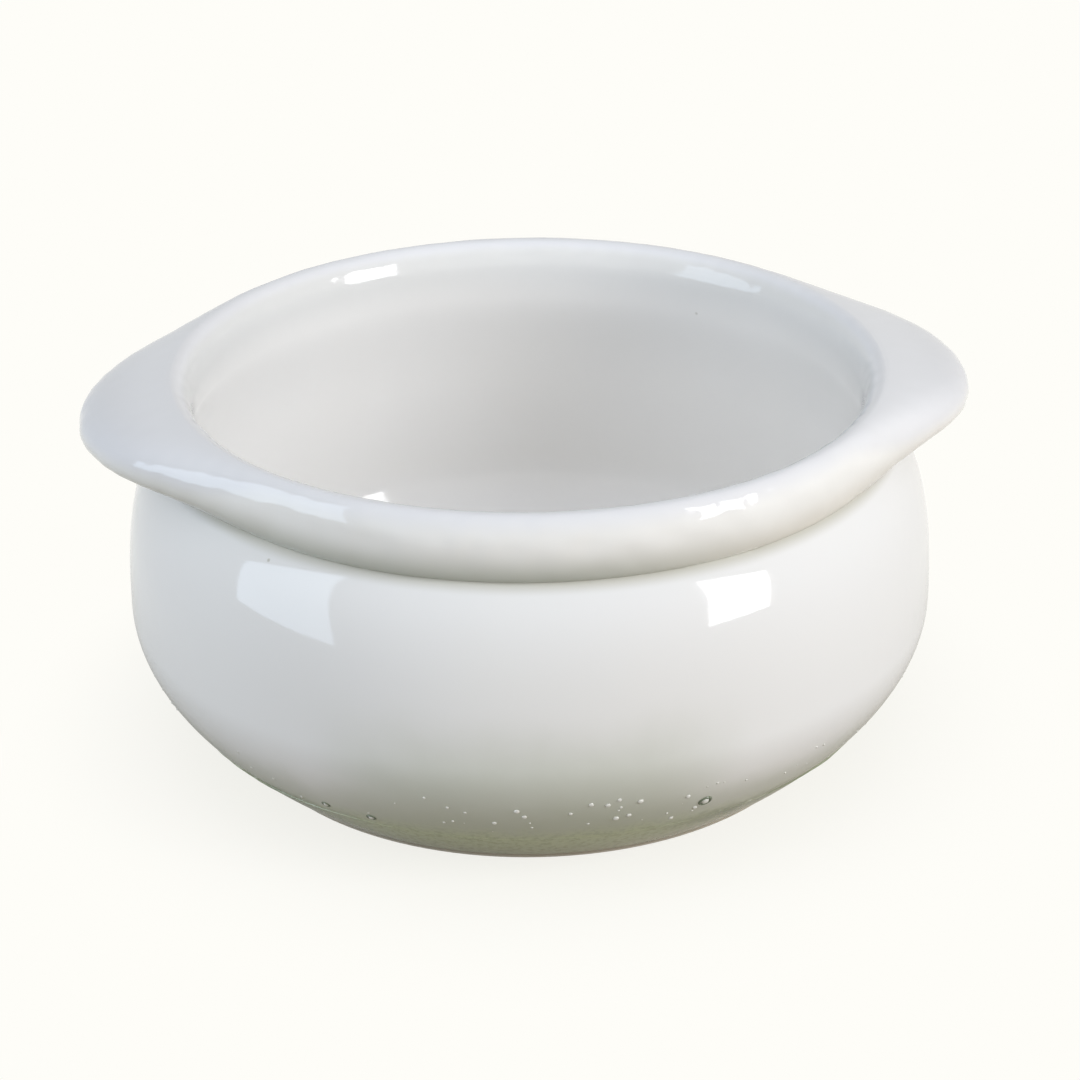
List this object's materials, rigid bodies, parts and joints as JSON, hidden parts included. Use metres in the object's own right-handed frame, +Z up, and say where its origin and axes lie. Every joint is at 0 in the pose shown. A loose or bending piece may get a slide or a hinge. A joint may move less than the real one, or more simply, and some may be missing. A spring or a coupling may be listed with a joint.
{
  "type": "soup crock",
  "caption": "Round-bellied glazed stoneware soup crock with a thick rolled rim, a wide open mouth and two flat lug handles.",
  "frame": {"origin": "middle of the foot ring's underside, on the table", "axes": "+X towards the right lug, +Y towards the back, +Z up out of the mouth"},
  "size_m": [0.136, 0.124, 0.06],
  "materials": {
    "stoneware": "fired clay under the glaze",
    "bare_foot": "bare fired clay, matt",
    "well_glaze": "glossy warm white glaze",
    "belly_glaze": "glossy white glaze",
    "rim_glaze": "glossy cool white glaze"
  },
  "bodies": {
    "root": {"bowl": "stoneware", "foot_ring": "bare_foot", "rim_roll": "stoneware", "left_lug": "stoneware", "right_lug": "stoneware", "inside_glaze": "well_glaze", "outside_glaze": "belly_glaze", "rim_glaze": "rim_glaze"}
  },
  "joints": []
}
